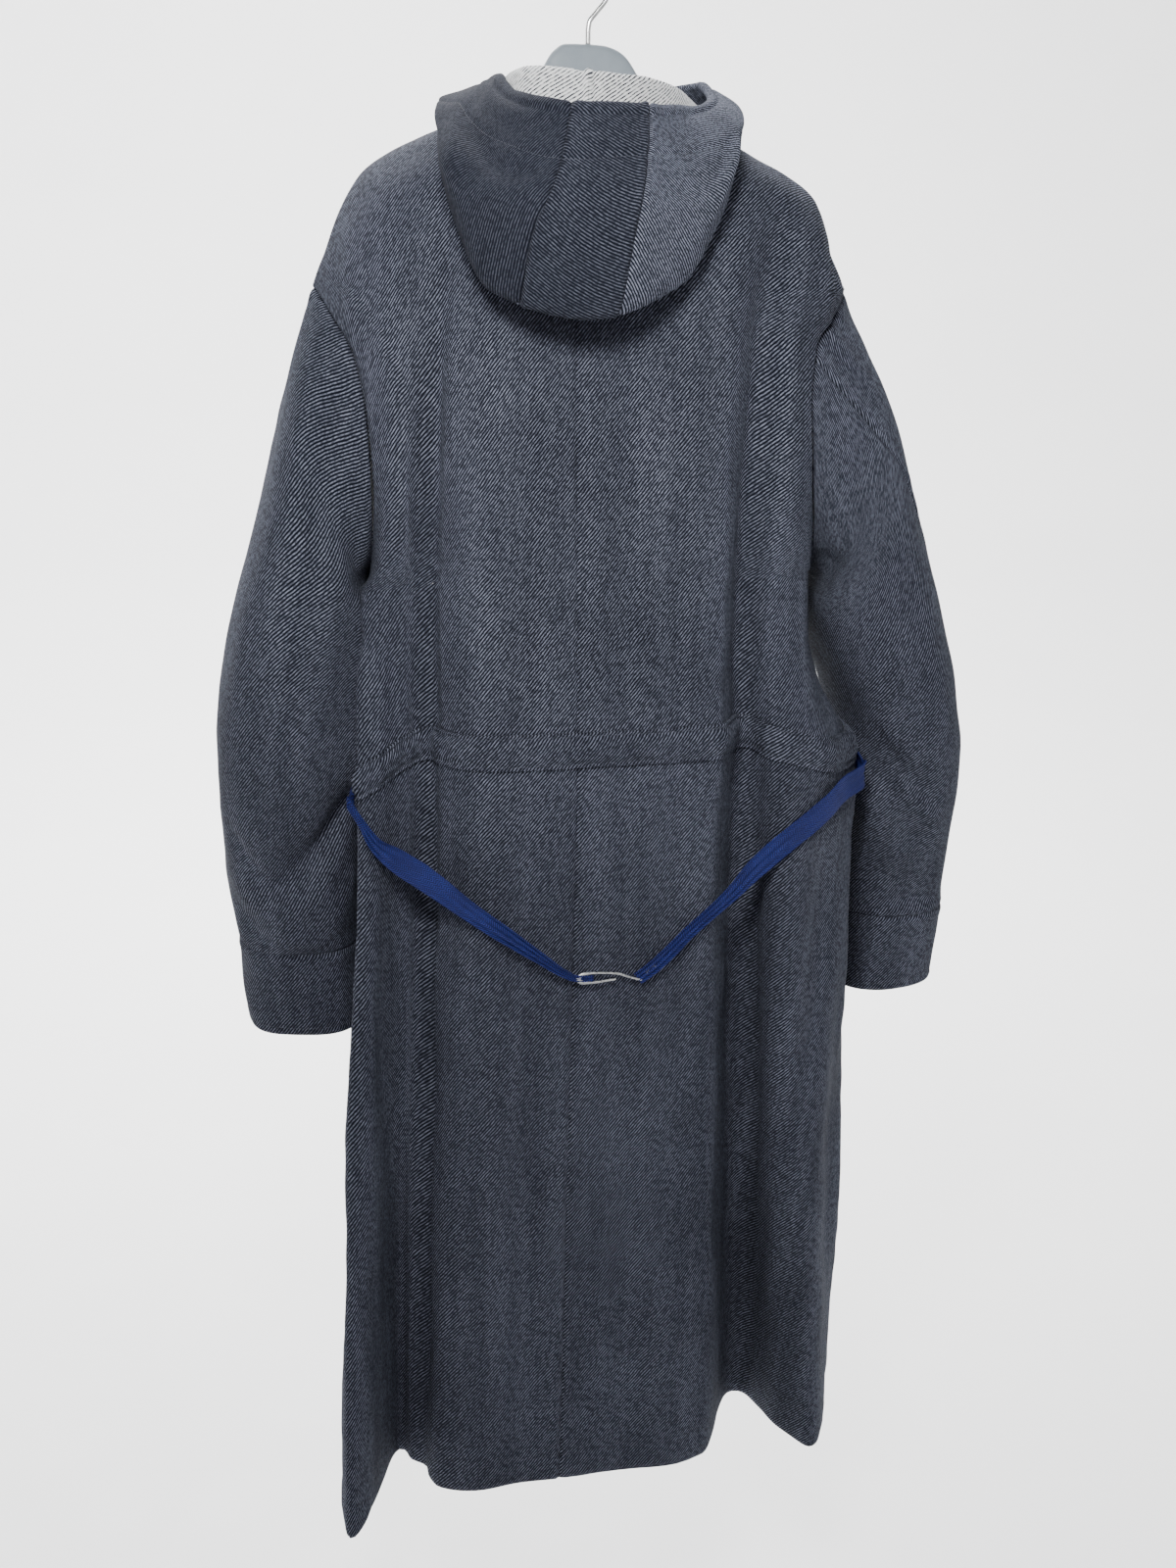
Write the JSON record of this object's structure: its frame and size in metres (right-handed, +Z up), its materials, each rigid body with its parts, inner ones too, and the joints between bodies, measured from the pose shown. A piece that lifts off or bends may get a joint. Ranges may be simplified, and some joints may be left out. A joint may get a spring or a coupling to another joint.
{
  "type": "mountain parka on a hanger",
  "caption": "Long hooded wool mountain parka, hood thrown back, with a hooked tape belt behind, hanging on a moulded hanger.",
  "frame": {"origin": "inner top of the hanger's hook, where the rail bears", "axes": "+Z up; the coat's back faces +Y and its front -Y; the wearer's left is +X"},
  "size_m": [0.6808, 0.2887, 1.3449],
  "materials": {
    "wool": "double-faced wool twill, navy face with pale flecks",
    "wool_inner": "pale inner face of the wool twill",
    "tape": "herringbone cotton tape, blue",
    "hook_metal": "dull nickel wire",
    "hanger_wire": "polished steel wire",
    "hanger_shell": "smooth moulded grey plastic"
  },
  "bodies": {
    "root": {"back_left": "wool", "back_right": "wool", "belt_hook": "hook_metal", "belt_tape_left": "tape", "belt_tape_right": "tape", "cuff_left": "wool", "cuff_right": "wool", "front_left": "wool", "front_right": "wool", "hanger_body": "hanger_shell", "hanger_hook": "hanger_wire", "hood_centre": "wool", "hood_left": "wool", "hood_neck_left": "wool_inner", "hood_neck_right": "wool_inner", "hood_right": "wool", "sleeve_left_under": "wool", "sleeve_left_upper": "wool", "sleeve_right_under": "wool", "sleeve_right_upper": "wool", "waist_casing": "wool"}
  },
  "joints": []
}
